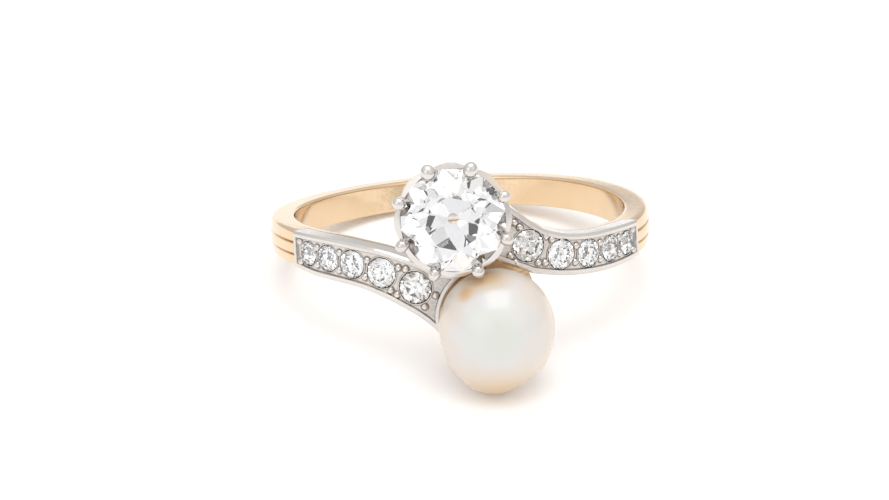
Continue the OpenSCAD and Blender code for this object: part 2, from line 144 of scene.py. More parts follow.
def polished_gold():
    """Pale 18 ct gold, rolled and hand polished: cream where it faces the light, deeper where it
    mirrors itself inside the hoop."""
    # its dark tone is painted shade, with some dirt, in the grooves, over the pearl's cup and under
    # the pearl and the collet
    return worn_metal(
        "polished_18ct_gold", clean="#ead5b8", warm="#dfbd93", shade_and_dirt="#8a6236",
        patch=3.0, wear=0.25, smooth=0.06, rough=0.16, relief=0.10)


def polished_platinum():
    """Platinum, saw pierced and bright cut: a warm light grey, with grey-brown painted shade round
    the grains and the seats and along the rims, and painted shade mixed with some dirt on the
    floor."""
    return worn_metal(
        "bright_cut_platinum", clean="#dedad6", warm="#d6cfc9", shade_and_dirt="#6b5d50",
        patch=2.0, wear=0.2, smooth=0.12, rough=0.24, relief=0.12)


def cut_diamond():
    """Clear diamond, polished flat: light bends and is thrown back inside it, so the facets show
    as white, grey and a few warm patches."""
    made, tree = material("cut_diamond")
    shader = add(tree, "ShaderNodeBsdfGlass", {"Roughness": 0.0, "IOR": 2.417})
    add(tree, "ShaderNodeOutputMaterial", {"Surface": shader.outputs[0]})
    return made


def near(tree, place, centre_mm, radius_mm):
    """1 at a place of the ring's frame, falling to 0 at that distance from it, which swings by
    18% either way so that the edge is wavy."""
    wavy = add(tree, "ShaderNodeTexNoise", {"Vector": place, "Scale": per_mm(1.4), "Detail": 1.0})
    away = add(tree, "ShaderNodeVectorMath", {
        0: place, 1: laid(np.array([centre_mm], float))[0]}, operation="DISTANCE")
    far = add(tree, "ShaderNodeMapRange", {
        "Value": wavy.outputs["Fac"], "From Min": 0.3, "From Max": 0.7,
        "To Min": 0.82 * radius_mm / 1000, "To Max": 1.18 * radius_mm / 1000})
    share = add(tree, "ShaderNodeMath", {
        0: away.outputs["Value"], 1: far.outputs[0]}, operation="DIVIDE")
    return add(tree, "ShaderNodeMapRange", {
        "Value": share.outputs[0], "From Min": 0.15, "From Max": 1.0, "To Min": 1.0, "To Max": 0.0},
        interpolation_type="SMOOTHSTEP").outputs[0]


def nacre():
    """Nacre, layers of thin plates that grew round the pearl: peach cream round its sides, with a
    painted reflection, silver white, on its front, stained golden by the old setting, and golden
    tan at its narrower end, partly a stain and partly painted shade on its lower side."""
    made, tree = material("pearl_nacre")
    place = add(tree, "ShaderNodeTexCoord").outputs["Object"]
    clouds = add(tree, "ShaderNodeTexNoise", {"Vector": place, "Scale": per_mm(2.6), "Detail": 2.0})
    colour = add(tree, "ShaderNodeMix", {
        "Factor": clouds.outputs["Fac"], "A": linear("#dfc9b1"), "B": linear("#dacbba")},
        data_type="RGBA")
    # stains, with a reflection painted on the front and shade painted on the narrower end
    for middle, radius, stain_and_painted_light, depth in PEARL_STAINS_AND_PAINTED_LIGHT:
        spot = add(tree, "ShaderNodeMath", {
            0: near(tree, place, middle, radius), 1: depth}, operation="MULTIPLY")
        colour = add(tree, "ShaderNodeMix", {
            "Factor": spot.outputs[0], "A": colour.outputs["Result"], "B": linear(stain_and_painted_light)},
            data_type="RGBA")
    skin = add(tree, "ShaderNodeTexNoise", {"Vector": place, "Scale": per_mm(0.35), "Detail": 3.0})
    bump = add(tree, "ShaderNodeBump", {
        "Height": skin.outputs["Fac"], "Strength": 0.06, "Distance": BUMP_HEIGHT})
    shader = add(tree, "ShaderNodeBsdfPrincipled", {
        "Base Color": colour.outputs["Result"], "Normal": bump.outputs[0],
        "Roughness": 0.34, "IOR": 1.6,
        "Coat Weight": 0.7, "Coat Roughness": 0.16, "Coat IOR": 1.55,
        "Sheen Weight": 0.12, "Sheen Roughness": 0.35, "Sheen Tint": linear("#f6c9a4"),
        "Subsurface Weight": 0.12, "Subsurface Radius": (1.0, 0.75, 0.55),
        "Subsurface Scale": 0.0006})
    add(tree, "ShaderNodeOutputMaterial", {"Surface": shader.outputs[0]})
    return made


# Stains and painted light of the pearl: middle in the ring's frame in mm, reach in mm, colour and
# depth. The first two are a painted reflection, the silver white of its front. The third, at its
# narrower end, is partly a stain and partly painted shade on its lower side.
PEARL_STAINS_AND_PAINTED_LIGHT = [
    ((0.6, -15.0, -2.2), 5.2, "#d7d8d9", 0.95),
    ((0.6, -15.0, -2.6), 2.2, "#d1d5c9", 0.8),
    ((0.6, -13.2, -6.4), 3.0, "#d2b387", 0.75),
    ((0.3, -12.9, 0.1), 1.5, "#dcb47a", 0.75),
    ((-0.75, -13.3, -0.6), 0.85, "#d9ad6e", 0.75),
]
GOLD, PLATINUM, DIAMOND, NACRE = polished_gold(), polished_platinum(), cut_diamond(), nacre()
for name, node in NODES.items():
    if "stone" in name or name == "diamond":
        node.data.materials.clear()
        node.data.materials.append(DIAMOND)

# Driving sizes in mm, as in the part's source but for the grains, which are a little larger
FINGER_R = 8.6
HOOP_T = 1.3
HOOP_R = FINGER_R + HOOP_T
BACK_W = 1.55
GROOVE_DEPTH = 0.16
GROOVE_REACH = 34.0     # degrees over which the grooves run out
SHOULDER_W = 2.0
ARM_SWEEP = 2.0
ARM_END = 63.5          # degrees from the head to a facing's outer end
INNER_END = 2.0         # degrees from the head to an arm's inner end
SWEEP_LEAN = 0.2
FULL_LEAN, NO_LEAN = 22.0, 52.0     # degrees from the head between which the lean fades
LINING_T = 0.4
SEAT_R = FINGER_R + LINING_T
RIM_R = HOOP_R + 0.06
RIM_W = 0.28
RIM_H = 0.13
FLOOR_R = RIM_R - RIM_H
BEVEL_W, BEVEL_H = 0.09, 0.12
SEAM = 0.03
STONE_FIT = 0.03
STONES = 5
OUTER_STONE_D, INNER_STONE_D = 1.25, 1.65
GIRDLE_SHARE, PAVILION_SHARE, CULET_SHARE = 0.02, 0.42, 0.11
STONE_LEAD = 1.3
BRIDGE = {1: 0.24, -1: 0.19}
GRAIN_D = 0.38

DIAMOND_D = 5.3
DIAMOND_TURN, DIAMOND_UP, DIAMOND_OUT = -5.0, 2.99147, 12.85
PEARL_TURN, PEARL_UP, PEARL_OUT = 4.0, -2.73932, 12.03
PEARL_D = 5.9
CUP_D = 4.2
HUG_D = 1.19 * CUP_D
PEARL_DISC_R = 0.583 * CUP_D
GALLERY_R = FINGER_R + 0.85
COLLET_FOOT_D = 3.6
COLLET_DISC_R = 0.528 * COLLET_FOOT_D
COLLET_H = 3.4
OPEN_BACK_D = 2.2
WEB_REACH, WEB_RISE = 3.05, 1.3

# Sections of the arms, for an arm that sweeps towards +Z: share of the way from the facing's
# outer end to the head, middle as a share of ARM_SWEEP, width as a share of SHOULDER_W.
# An arm is named by its side: 1 is the right one, -1 the left one, turned half way round.
ARM = {
    1: np.array([
        [0, -0.17, 0.935], [0.24, -0.155, 1.03], [0.39, -0.135, 1.035], [0.52, -0.07, 1.055],
        [0.6, 0.01, 1.095], [0.68, 0.135, 1.17], [0.745, 0.29, 1.325], [0.8, 0.48, 1.43],
        [0.86, 0.68, 1.56], [1, 1.2, 1.95]]),
    -1: np.array([
        [0, -0.14, 0.93], [0.175, -0.09, 1.05], [0.325, -0.045, 1.09], [0.465, 0.045, 1.125],
        [0.595, 0.21, 1.245], [0.71, 0.45, 1.37], [0.77, 0.61, 1.445], [0.825, 0.8, 1.55],
        [0.9, 1.08, 1.85], [1, 1.3, 2.15]]),
}


def mix(a, b, t):
    return a + (b - a) * t


def ease(t):
    u = np.clip(t, 0, 1)
    return u * u * (3 - 2 * u)


def read(rows, x, column):
    """Smooth curve through a column of rows: a cubic between neighbouring rows, whose slope at
    each row is that of the line between the rows on its two sides."""
    at, value = rows[:, 0], rows[:, column]
    last = len(at) - 1
    low, high = np.maximum(np.arange(last + 1) - 1, 0), np.minimum(np.arange(last + 1) + 1, last)
    slope = (value[high] - value[low]) / (at[high] - at[low])
    i = np.clip(np.searchsorted(at, x, side="right") - 1, 0, last - 1)
    h = at[i + 1] - at[i]
    t = (x - at[i]) / h
    return (mix(value[i], value[i + 1], t * t * (3 - 2 * t))
            + h * t * (1 - t) * ((1 - t) * slope[i] - t * slope[i + 1]))


def along_arm(a):
    """Share of the way from the facing's outer end to the head, and of that to the back."""
    return (np.clip((ARM_END - a) / (ARM_END - INNER_END), 0, 1),
            (a - ARM_END) / (180 - ARM_END))


def centre(side, a):
    """Middle of the ring's section along the finger, on the arm's own side: the arm's curve, which
    behind the arm eases back to 0 in 1 / 1.4 of the way."""
    share, behind = along_arm(a)
    rest = ARM[side][0, 1] * (1 - ease(1.4 * behind))
    return ARM_SWEEP * np.where(a < ARM_END, read(ARM[side], share, 1), rest)


def width(side, a):
    """Width of the ring's section along the finger: the arm's curve, which behind the arm eases
    to the width of the back."""
    share, behind = along_arm(a)
    rest = mix(SHOULDER_W * ARM[side][0, 2], BACK_W, ease(behind))
    return np.where(a < ARM_END, SHOULDER_W * read(ARM[side], share, 2), rest)


def lean_out(a, r):
    """How far the wall on the side that an arm sweeps to leans out, more towards the finger."""
    share = ease((NO_LEAN - a) / (NO_LEAN - FULL_LEAN))
    return SWEEP_LEAN * share * (RIM_R - r) / (RIM_R - FINGER_R)


def lengthened(side, a):
    """How much longer a cut along the finger is than one square to the sloping arm."""
    rise = (centre(side, a + 0.5) - centre(side, a - 0.5)) / (np.radians(1) * HOOP_R)
    return np.sqrt(1 + rise * rise)


def on_ring(side, a, r, z):
    """Points at angles from the head, radii and heights measured on the arm's own side."""
    a, r, z = np.broadcast_arrays(np.radians(a), r, z)
    return np.stack([side * r * np.sin(a), -r * np.cos(a), side * z], -1)


def outward(turn, up, local):
    """Points of a frame whose own +Z points straight out from the finger, as ring points."""
    x, y, z = np.moveaxis(np.asarray(local, float), -1, 0)
    t = np.radians(turn)
    return np.stack([x * np.cos(t) + z * np.sin(t), x * np.sin(t) - z * np.cos(t), up + y], -1)


def stone_d(i):
    return mix(OUTER_STONE_D, INNER_STONE_D, (i - 1) / (STONES - 1))


def stone_angle(side, i):
    """Angle from the head of a small diamond, number 1 being the outermost one."""
    steps = ((stone_d(k - 1) + stone_d(k)) / 2 + BRIDGE[side] for k in range(2, i + 1))
    return ARM_END - np.degrees((STONE_LEAD + sum(steps)) / FLOOR_R)


# Meshes
def quads(rows, columns, close_rows=False, close_columns=False):
    """Four-sided faces between neighbouring points of a grid, each way closed on itself or not."""
    i, j = (v.ravel() for v in np.meshgrid(
        np.arange(rows - 1 + close_rows), np.arange(columns - 1 + close_columns), indexing="ij"))
    k, l = (i + 1) % rows, (j + 1) % columns
    return np.stack([i * columns + j, i * columns + l, k * columns + l, k * columns + j], 1)


def piece(name, finish, surfaces, replaces=(), sharp=35):
    """One object from surfaces, each an array of ring points (rows, columns, 3) with a flag for
    each way that it closes on itself and, where it has recesses, how deep in one each point lies,
    from 0 to 1, which darkens it with painted shade and some dirt. Doubles at poles and seams are
    merged, and faces turned out."""
    points, faces, recess_shade_and_dirt, count = [], [], [], 0
    for grid, close_rows, close_columns, *shade in surfaces:
        faces.append(quads(*grid.shape[:2], close_rows, close_columns) + count)
        points.append(grid.reshape(-1, 3))
        recess_shade_and_dirt.append(np.broadcast_to(shade[0] if shade else 0.0, grid.shape[:2]).ravel())
        count += len(points[-1])
    points, faces = laid(np.concatenate(points)), np.concatenate(faces)
    mesh = bpy.data.meshes.new(name)
    mesh.vertices.add(len(points))
    mesh.vertices.foreach_set("co", points.ravel())
    mesh.loops.add(faces.size)
    mesh.loops.foreach_set("vertex_index", faces.ravel())
    mesh.polygons.add(len(faces))
    mesh.polygons.foreach_set("loop_start", np.arange(0, faces.size, 4))
    mesh.update(calc_edges=True)
    # the mask by which the metals paint shade, with some dirt, into their colour
    depth = mesh.attributes.new("recess_shade_and_dirt", "FLOAT", "POINT")
    depth.data.foreach_set("value", np.concatenate(recess_shade_and_dirt).astype(np.float32))
    work = bmesh.new()
    work.from_mesh(mesh)
    bmesh.ops.remove_doubles(work, verts=work.verts, dist=MERGE)
    bmesh.ops.dissolve_degenerate(work, edges=work.edges, dist=MERGE)
    bmesh.ops.recalc_face_normals(work, faces=work.faces)
    for face in work.faces:
        face.smooth = True
    work.to_mesh(mesh)
    work.free()
    mesh.set_sharp_from_angle(angle=math.radians(sharp))
    mesh.materials.append(finish)
    made = bpy.data.objects.new(name, mesh)
    bpy.context.scene.collection.objects.link(made)
    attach(made, "root")
    if replaces:
        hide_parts(*replaces)
    return made


def turned_piece(turn, up, profile, around=96):
    """A profile of (radius, height out from the finger) spun about an axis that points out."""
    phi = np.radians(np.arange(around) * 360 / around)
    r, h = np.asarray(profile, float).T
    return outward(turn, up, np.stack(np.broadcast_arrays(
        r[:, None] * np.cos(phi), r[:, None] * np.sin(phi), h[:, None]), -1))


def bent_plate(turn, outline, profile):
    """A plate bent round the finger. Each row of the profile, a share and a radius, carries the
    outline, shrunk by the share about its middle, onto a cylinder of that radius."""
    middle = outline.mean(0)
    share, radius = np.asarray(profile, float).T
    flat = middle + (outline - middle)[None] * share[:, None, None]
    a = np.arcsin(flat[..., 0] / radius[:, None]) + np.radians(turn)
    return np.stack([radius[:, None] * np.sin(a), -radius[:, None] * np.cos(a), flat[..., 1]], -1)


def circle(radius, up, around=96):
    phi = np.radians(np.arange(around) * 360 / around)
    return np.stack([radius * np.cos(phi), up + radius * np.sin(phi)], -1)


def round_curve(control, per_span=3):
    """A closed smooth curve drawn towards control points: a cubic B-spline on each span.
    control is (..., points, values)."""
    t = (np.arange(per_span) / per_span)[:, None]
    weights = np.concatenate([
        (1 - t) ** 3, 3 * t ** 3 - 6 * t ** 2 + 4,
        -3 * t ** 3 + 3 * t ** 2 + 3 * t + 1, t ** 3], 1) / 6
    around = np.stack([np.roll(control, 1 - k, axis=-2) for k in range(4)], -2)
    curve = np.einsum("tk,...pkv->...ptv", weights, around)
    return curve.reshape(*control.shape[:-2], -1, control.shape[-1])


# Half of the hoop's outline from the middle of the bore to the middle of its face:
# depth as a share of HOOP_T, across as a share of half the width, and the groove's share
HOOP_HALF = np.array([
    [0, 0, 0], [0, 0.25, 0], [0, 0.5, 0], [0, 0.74, 0], [0, 0.88, 0],
    [0.015, 0.96, 0], [0.09, 1, 0], [0.22, 1.002, 0], [0.42, 1.002, 0], [0.6, 1.002, 0],
    [0.74, 0.998, 0], [0.85, 0.975, 0], [0.91, 0.91, 0], [0.93, 0.82, 0], [0.945, 0.72, 0],
    [0.953, 0.62, 0], [0.966, 0.52, 0], [0.975, 0.44, 0], [0.98, 0.395, 0.1], [0.984, 0.36, 1],
    [0.986, 0.32, 1], [0.99, 0.285, 0.1], [0.992, 0.24, 0], [0.996, 0.16, 0], [1, 0.06, 0]])

HALF_ROWS = 83          # sections of the hoop along each arm
BACK_ROWS = 155         # and from each facing's outer end to the back
# How dark the painted shade is: in the grooves, where some dirt is mixed in, over the pearl's cup,
# and on the outer side of the gallery, under the pearl and the collet
GROOVE_SHADE, CUP_SHADE, GALLERY_SHADE = 0.4, 0.3, 0.35


def hoop_rows(side, a, top):
    """Sections of the hoop at angles a from the head, none of it further out than top. The last
    of the four values of each point is how deep in a groove it lies."""
    depth, across, cut = np.concatenate([HOOP_HALF, HOOP_HALF[:0:-1] * [1, -1, 1]]).T
    cut = cut * (1 - ease((a - ARM_END) / GROOVE_REACH))[:, None]
    r = FINGER_R + HOOP_T * depth - GROOVE_DEPTH * cut
    outline = round_curve(np.stack(np.broadcast_arrays(r, across, cut), -1))
    r, across = np.clip(outline[..., 0], FINGER_R, top), outline[..., 1]
    z = centre(side, a)[:, None] + across * width(side, a)[:, None] / 2
    z = z + np.where(across > 0, lean_out(a[:, None], r), 0)
    rows = np.concatenate([on_ring(side, a[:, None], r, z), outline[..., 2:]], -1)
    return rows if side > 0 else rows[:, ::-1]


def make_shank():
    """Gold hoop with the linings of both arms as one tube, its outside stepping down where the
    facings begin, with the gallery, its open back and the pearl's cup."""
    under = INNER_END + (ARM_END - INNER_END) * np.linspace(0, 1, HALF_ROWS)
    round_back = np.linspace(ARM_END, 180, BACK_ROWS)
    # the row at the very back is the same from both sides, so the second one is left out
    rows = np.concatenate([
        hoop_rows(1, under, SEAT_R), hoop_rows(1, round_back, HOOP_R),
        hoop_rows(-1, round_back[::-1], HOOP_R)[1:], hoop_rows(-1, under[::-1], SEAT_R)])
    ends = [np.broadcast_to(rows[k].mean(0), rows[k].shape)[None] for k in (0, -1)]
    hoop, grooves = np.split(np.concatenate([ends[0], rows, ends[1]]), [3], -1)

    # the gallery: discs behind the pearl and the collet, the second with its open back, and the
    # bridge between them, whose inner side is a hair further out than that of the discs
    hair, rim = 0.004, 0.08
    inside = FINGER_R - hair
    plate = [(0, inside), (0.3, inside), (0.6, inside), (0.85, inside), (0.97, inside),
             (1, inside + rim), (1, GALLERY_R - rim), (0.97, GALLERY_R), (0.85, GALLERY_R),
             (0.5, GALLERY_R), (0, GALLERY_R)]
    # painted shade on the outer side of each plate, under the pearl and the collet
    plate_shade = np.repeat([0, GALLERY_SHADE], [6, 5])[:, None]
    hole = OPEN_BACK_D / 2 / COLLET_DISC_R
    ring = [(hole + 0.02, inside), (0.8, inside), (0.97, inside), (1, inside + rim),
            (1, GALLERY_R - rim), (0.97, GALLERY_R), (0.8, GALLERY_R), (hole, GALLERY_R),
            (hole, GALLERY_R - 0.3), (hole, inside + 0.04)]
    ring_shade = np.repeat([0, GALLERY_SHADE, 0], [4, 4, 2])[:, None]
    corners = np.array([
        [-COLLET_FOOT_D / 2, DIAMOND_UP - COLLET_FOOT_D / 12],
        [-CUP_D / 2, PEARL_UP + CUP_D / 8], [WEB_REACH, PEARL_UP + WEB_RISE],
        [0.44 * COLLET_FOOT_D, DIAMOND_UP - COLLET_FOOT_D / 12]])
    steps = np.linspace(0, 1, 12, endpoint=False)[:, None]
    bridge = np.concatenate([mix(corners[k], corners[(k + 1) % 4], steps) for k in range(4)])
    bridge_plate = [(share, r + hair * (r < SEAT_R)) for share, r in plate]

    # the cup: the pearl's ball with the fit, up to its rounded rim, down outside, and its foot
    ball = PEARL_D / 2 + STONE_FIT
    lip = np.linspace(0, np.arcsin((CUP_D / 2 - 0.1) / ball), 14)
    cup = [(ball * np.sin(t), PEARL_OUT - ball * np.cos(t)) for t in lip]
    top = cup[-1][1]
    cup += [(CUP_D / 2 - 0.03, top + 0.02), (CUP_D / 2, top - 0.05),
            (CUP_D / 2, GALLERY_R - 0.2), (0, GALLERY_R - 0.3)]
    pearl_disc = bent_plate(PEARL_TURN, circle(PEARL_DISC_R, PEARL_UP), plate)
    collet_disc = bent_plate(DIAMOND_TURN, circle(COLLET_DISC_R, DIAMOND_UP), ring)
    return piece("gold_shank", GOLD, [
        (hoop, False, True, GROOVE_SHADE * grooves[..., 0]),
        (pearl_disc, False, True, plate_shade),
        (collet_disc, True, True, ring_shade),
        (bent_plate(0, bridge, bridge_plate), False, True, plate_shade),
        (turned_piece(PEARL_TURN, PEARL_UP, cup), False, True, CUP_SHADE),
    ], replaces=["shank"])


# Height of a facing over its rim by the distance in from its edge: a bevel, the flat plain rim
# and the wall down to the floor. The steps are where the grid has its lines, also in from an edge.
WALL_FOOT = RIM_W + 0.035
RIM_PROFILE = np.array([
    [0, -BEVEL_H], [BEVEL_W, -0.012], [BEVEL_W + 0.015, 0], [RIM_W - 0.02, 0],
    [RIM_W - 0.005, -0.015], [RIM_W + 0.02, 0.01 - RIM_H], [WALL_FOOT, -RIM_H]])
EDGE_STEPS = np.concatenate([
    [0, 0.03, 0.06], BEVEL_W + np.array([-0.01, 0, 0.007, 0.015, 0.03, 0.07, 0.11, 0.14]),
    RIM_W + np.array([-0.03, -0.02, -0.012, -0.005, 0.005, 0.012, 0.02, 0.035, 0.06, 0.085])])
WALL_STEPS = np.concatenate([
    [SEAT_R + SEAM, 9.3, 9.6], RIM_R - BEVEL_H - np.array([0.1, 0.05, 0.02])])

LIP = 0.05              # mm, width of the lip round a small diamond's seat
SEAT_SKIN = 0.02        # mm, thickness of a seat's bright wall
GRAIN_PRESS = 0.85      # height of a grain as a share of half a ball's
PAIR_SHIFT = 0.52 * GRAIN_D     # mm from the middle of a gap to each grain of a pair there
# Depth of the darkening, 1 being full: painted shade at the foot of the rim's wall, painted shade
# with some dirt on the floor and there near the pearl and the collet, painted shade round a grain
# and round a seat
WALL_SHADE, FLOOR_SHADE_AND_DIRT, HEAD_SHADE_AND_DIRT, GRAIN_SHADE, SEAT_SHADE = 0.55, 0.1, 0.25, 0.9, 0.8
# Grains round the innermost stone: degrees from the line to the head, and distance as a share of
# that at which a grain touches the stone
CORNER_GRAINS = {1: [(68, 1.03), (62, 1.38), (-23, 1), (-48, 1)],
                 -1: [(66, 1.03), (22, 1.05), (-30, 1.05)]}


def pearl_way(phi, r, z):
    """Distance from the pearl's axis, seen along it, past the space that is kept round it."""
    side = r * np.sin(phi - np.radians(PEARL_TURN))
    return np.hypot(side, z - PEARL_UP) - HUG_D / 2


def collet_way(phi, r, z):
    """Distance from the diamond's axis, seen along it, past the collet's wall."""
    t = phi - np.radians(DIAMOND_TURN)
    wall = collet_r(r * np.cos(t) - DIAMOND_OUT)
    return np.hypot(r * np.sin(t), z - DIAMOND_UP) - wall - SEAM


def make_facing(side, name):
    """Platinum facing of one arm. Columns run along the arm at set distances in from its two
    sides, rows at set distances in from its outer end and from the pearl's or collet's space.
    The height over the floor follows the distance to the nearest edge, less the stones' seats."""
    # shares of the way across the floor and along it, between the set steps
    middle, length = np.linspace(0, 1, 52)[1:-1], np.linspace(0, 1, 300)[1:-1]
    spans = len(EDGE_STEPS)

    def across(a):
        """Distance of each column from the section's middle, and in from the nearer side."""
        a = np.asarray(a, float)[..., None]
        w, long = width(side, a) / 2, lengthened(side, a)
        low = -w + EDGE_STEPS * long
        high = w - EDGE_STEPS[::-1] * long
        y = np.concatenate([low, mix(low[..., -1:], high[..., :1], middle), high], -1)
        return y, (w - np.abs(y)) / long

    # where each column meets the space of the pearl or the collet
    seek = np.linspace(ARM_END, INNER_END, 2500)
    y, _ = across(seek)
    phi, z = np.radians(side * seek)[:, None], side * (centre(side, seek)[:, None] + y)
    way = np.minimum(pearl_way(phi, RIM_R, z), collet_way(phi, RIM_R, z))
    blocked = way < 0
    first = np.where(blocked.any(0), blocked.argmax(0), len(seek) - 1)
    before = np.maximum(first - 1, 0)
    columns = np.arange(way.shape[1])
    d0, d1 = way[before, columns], way[first, columns]
    part = np.where(d1 < 0, d0 / np.where(d0 - d1 == 0, 1, d0 - d1), 1)
    end = mix(seek[before], seek[first], part)
    # how squarely it meets it, so that the rows there keep their distance from the edge
    back = np.maximum(first - 8, 0)
    steep = np.clip((way[back, columns] - d1) / (
        np.radians(seek[back] - seek[first] + 1e-9) * RIM_R), 0.35, 1)

    outer = ARM_END - np.degrees((SEAM + EDGE_STEPS) / RIM_R)[:, None]
    inner = end + np.degrees(EDGE_STEPS[::-1, None] / steep / RIM_R)
    between = mix(outer[-1:], inner[:1], length[:, None])
    a = np.concatenate([np.broadcast_to(outer, (spans, len(columns))), between, inner])
    y = np.empty_like(a)
    in_side = np.empty_like(a)
    for k in columns:
        every, inward = across(a[:, k])
        y[:, k], in_side[:, k] = every[:, k], inward[:, k]
    phi, z = np.radians(side * a), side * (centre(side, a) + y)
    in_end = np.minimum(pearl_way(phi, RIM_R, z), collet_way(phi, RIM_R, z))
    in_outer = np.radians(ARM_END - a) * RIM_R - SEAM
    d = np.clip(np.minimum(np.minimum(in_side, in_end), in_outer), 0, 1)
    height = RIM_R + np.interp(d, RIM_PROFILE[:, 0], RIM_PROFILE[:, 1])

    def away_from(angle, up):
        """Distance of each point from an axis that points out at an angle and a height."""
        return np.hypot(FLOOR_R * np.sin(phi - np.radians(side * angle)), z - side * up)

    def band(distance, middle, half):
        """1 at a distance, falling to 0 on both sides of it as a bell curve."""
        return np.exp(-((distance - middle) / half) ** 2)

    # painted shade, with some dirt on the floor, by where each point lies
    floor_shade_and_dirt = FLOOR_SHADE_AND_DIRT + HEAD_SHADE_AND_DIRT * band(in_end, 0.2, 0.7)
    recess_shade_and_dirt = np.maximum(WALL_SHADE * band(d, WALL_FOOT, 0.03), floor_shade_and_dirt * (d > WALL_FOOT))
    for angle, up in grain_places(side):
        shade_and_dirt = GRAIN_SHADE * band(away_from(angle, up), GRAIN_D / 2, 0.06)
        recess_shade_and_dirt = np.maximum(recess_shade_and_dirt, shade_and_dirt * (d > RIM_W))
    for i in range(1, STONES + 1):
        angle, r = stone_angle(side, i), stone_d(i) / 2 + STONE_FIT
        away = away_from(angle, centre(side, angle))
        height = np.where(away < r, SEAT_R + SEAM + 0.006, height)
        recess_shade_and_dirt = np.maximum(recess_shade_and_dirt, SEAT_SHADE * band(away, r + LIP, 0.04) * (d > RIM_W))

    top = on_ring(side, a, height, centre(side, a) + y)
    low = np.minimum(height, SEAT_R + SEAM)
    # the walls: under each edge, leaning out on the side that the arm sweeps to
    def wall(column):
        edge_a, edge_y = a[:, column, None], y[:, column, None]
        r = WALL_STEPS[None]
        out = np.where(edge_y > 0, lean_out(edge_a, r), 0)
        return on_ring(side, edge_a, r, centre(side, edge_a) + edge_y + out)
    bottom = on_ring(side, a, low, centre(side, a) + y)
    left, right = wall(0), wall(-1)
    bottom[:, 0], bottom[:, -1] = left[:, 0], right[:, 0]
    upper = np.concatenate([left, top, right[:, ::-1]], 1)
    lower = np.concatenate([np.repeat(bottom[:, :1], left.shape[1], 1), bottom,
                            np.repeat(bottom[:, -1:], right.shape[1], 1)], 1)
    ends = [np.stack([upper[k], lower[k]]) for k in (0, -1)]
    shade = np.pad(recess_shade_and_dirt, ((0, 0), (left.shape[1], right.shape[1])))
    return piece(name, PLATINUM, [
        (upper, False, False, shade), (lower, False, False),
        (ends[0], False, False), (ends[1], False, False),
        *((grain(side * angle, side * up), False, True) for angle, up in grain_places(side)),
        *(seat_cup(side, i) for i in range(1, STONES + 1)),
    ], replaces=[name.replace("_facing", "_shoulder")], sharp=50)


def grain_places(side):
    """Angle from the head and height on the arm's own side of each grain. Those in the gap between
    two stones stand beside the line between them, touching a stone: one on each side where the arm
    is narrow, two where there is room. The innermost stone has more, at places of their own."""
    places = []
    for i in range(STONES):
        a, b = stone_angle(side, max(i, 1)), stone_angle(side, i + 1)
        if i == 0:
            # the pair behind the outermost stone, on the slant
            step, reach = np.array([1.0, 0]), stone_d(1) / 2 + 1.5 * STONE_FIT + GRAIN_D / 2
            spots = [(-0.78 * reach, 0.62 * reach)]
        else:
            step = np.array([np.radians(a - b) * FLOOR_R, centre(side, b) - centre(side, a)])
            half = np.linalg.norm(step) / 2
            step = step / (2 * half)
            spots = []
            for shift in (-PAIR_SHIFT, PAIR_SHIFT):
                reach = stone_d(i + (shift > 0)) / 2 + STONE_FIT + GRAIN_D / 2
                spots.append((half + shift, math.sqrt(reach ** 2 - (half - abs(shift)) ** 2)))
            gap = (a + b) / 2
            floor_w = float(width(side, gap) / 2 / lengthened(side, gap)) - RIM_W
            if max(spot[1] for spot in spots) + GRAIN_D / 3 > floor_w:
                reach = (stone_d(i) + stone_d(i + 1)) / 4 + STONE_FIT + GRAIN_D / 2
                spots = [(half, math.sqrt(reach ** 2 - half ** 2))]
        for along, across in spots:
            for edge in (-1, 1):
                s = along * step + edge * across * np.array([-step[1], step[0]])
                places.append((a - np.degrees(s[0] / FLOOR_R), float(centre(side, a)) + s[1]))
    a = stone_angle(side, STONES)
    reach = stone_d(STONES) / 2 + STONE_FIT + GRAIN_D / 2
    for turn, far in CORNER_GRAINS[side]:
        t = math.radians(turn)
        places.append((a - math.degrees(far * reach * math.cos(t) / FLOOR_R),
                       float(centre(side, a)) + far * reach * math.sin(t)))
    return places


def grain(turn, up):
    """A bead of metal raised by the setter's tool: half a ball, pressed a little lower."""
    t = np.linspace(0, np.pi, 12)
    r = GRAIN_D / 2
    profile = np.stack([r * np.sin(t), FLOOR_R - GRAIN_PRESS * r * np.cos(t)], 1)
    return turned_piece(turn, up, profile, 24)


def seat_cup(side, i):
    """Bright seat of a small diamond, spun about the stone's axis: a lip round the girdle, a short
    wall and a cone that follows the pavilion, closed by the same profile a little further out."""
    d, a = stone_d(i), stone_angle(side, i)
    r, low = d / 2 + STONE_FIT, FLOOR_R - GIRDLE_SHARE * d / 2 - STONE_FIT
    foot_r = CULET_SHARE * d / 2 + STONE_FIT
    foot = max(low - PAVILION_SHARE * d, SEAT_R + SEAM + 2 * SEAT_SKIN)
    profile = np.array([
        (r + LIP, FLOOR_R - 0.03), (r + LIP, FLOOR_R + 0.004), (r + 0.7 * LIP, FLOOR_R + 0.014),
        (r + 0.25 * LIP, FLOOR_R + 0.014), (r, FLOOR_R + 0.002), (r, low), (foot_r, foot),
        (foot_r, foot - SEAT_SKIN), (r + SEAT_SKIN, low - SEAT_SKIN)])
    # painted shade on the seat: darkest down its wall beside the stone's girdle and at the lip's
    # outer foot, none on the lip's top
    shade = np.array([0.4, 0, 0, 0, 0.3, 0.6, 0.1, 0.3, 0.3])[:, None]
    return turned_piece(side * a, side * centre(side, a), profile), True, True, shade


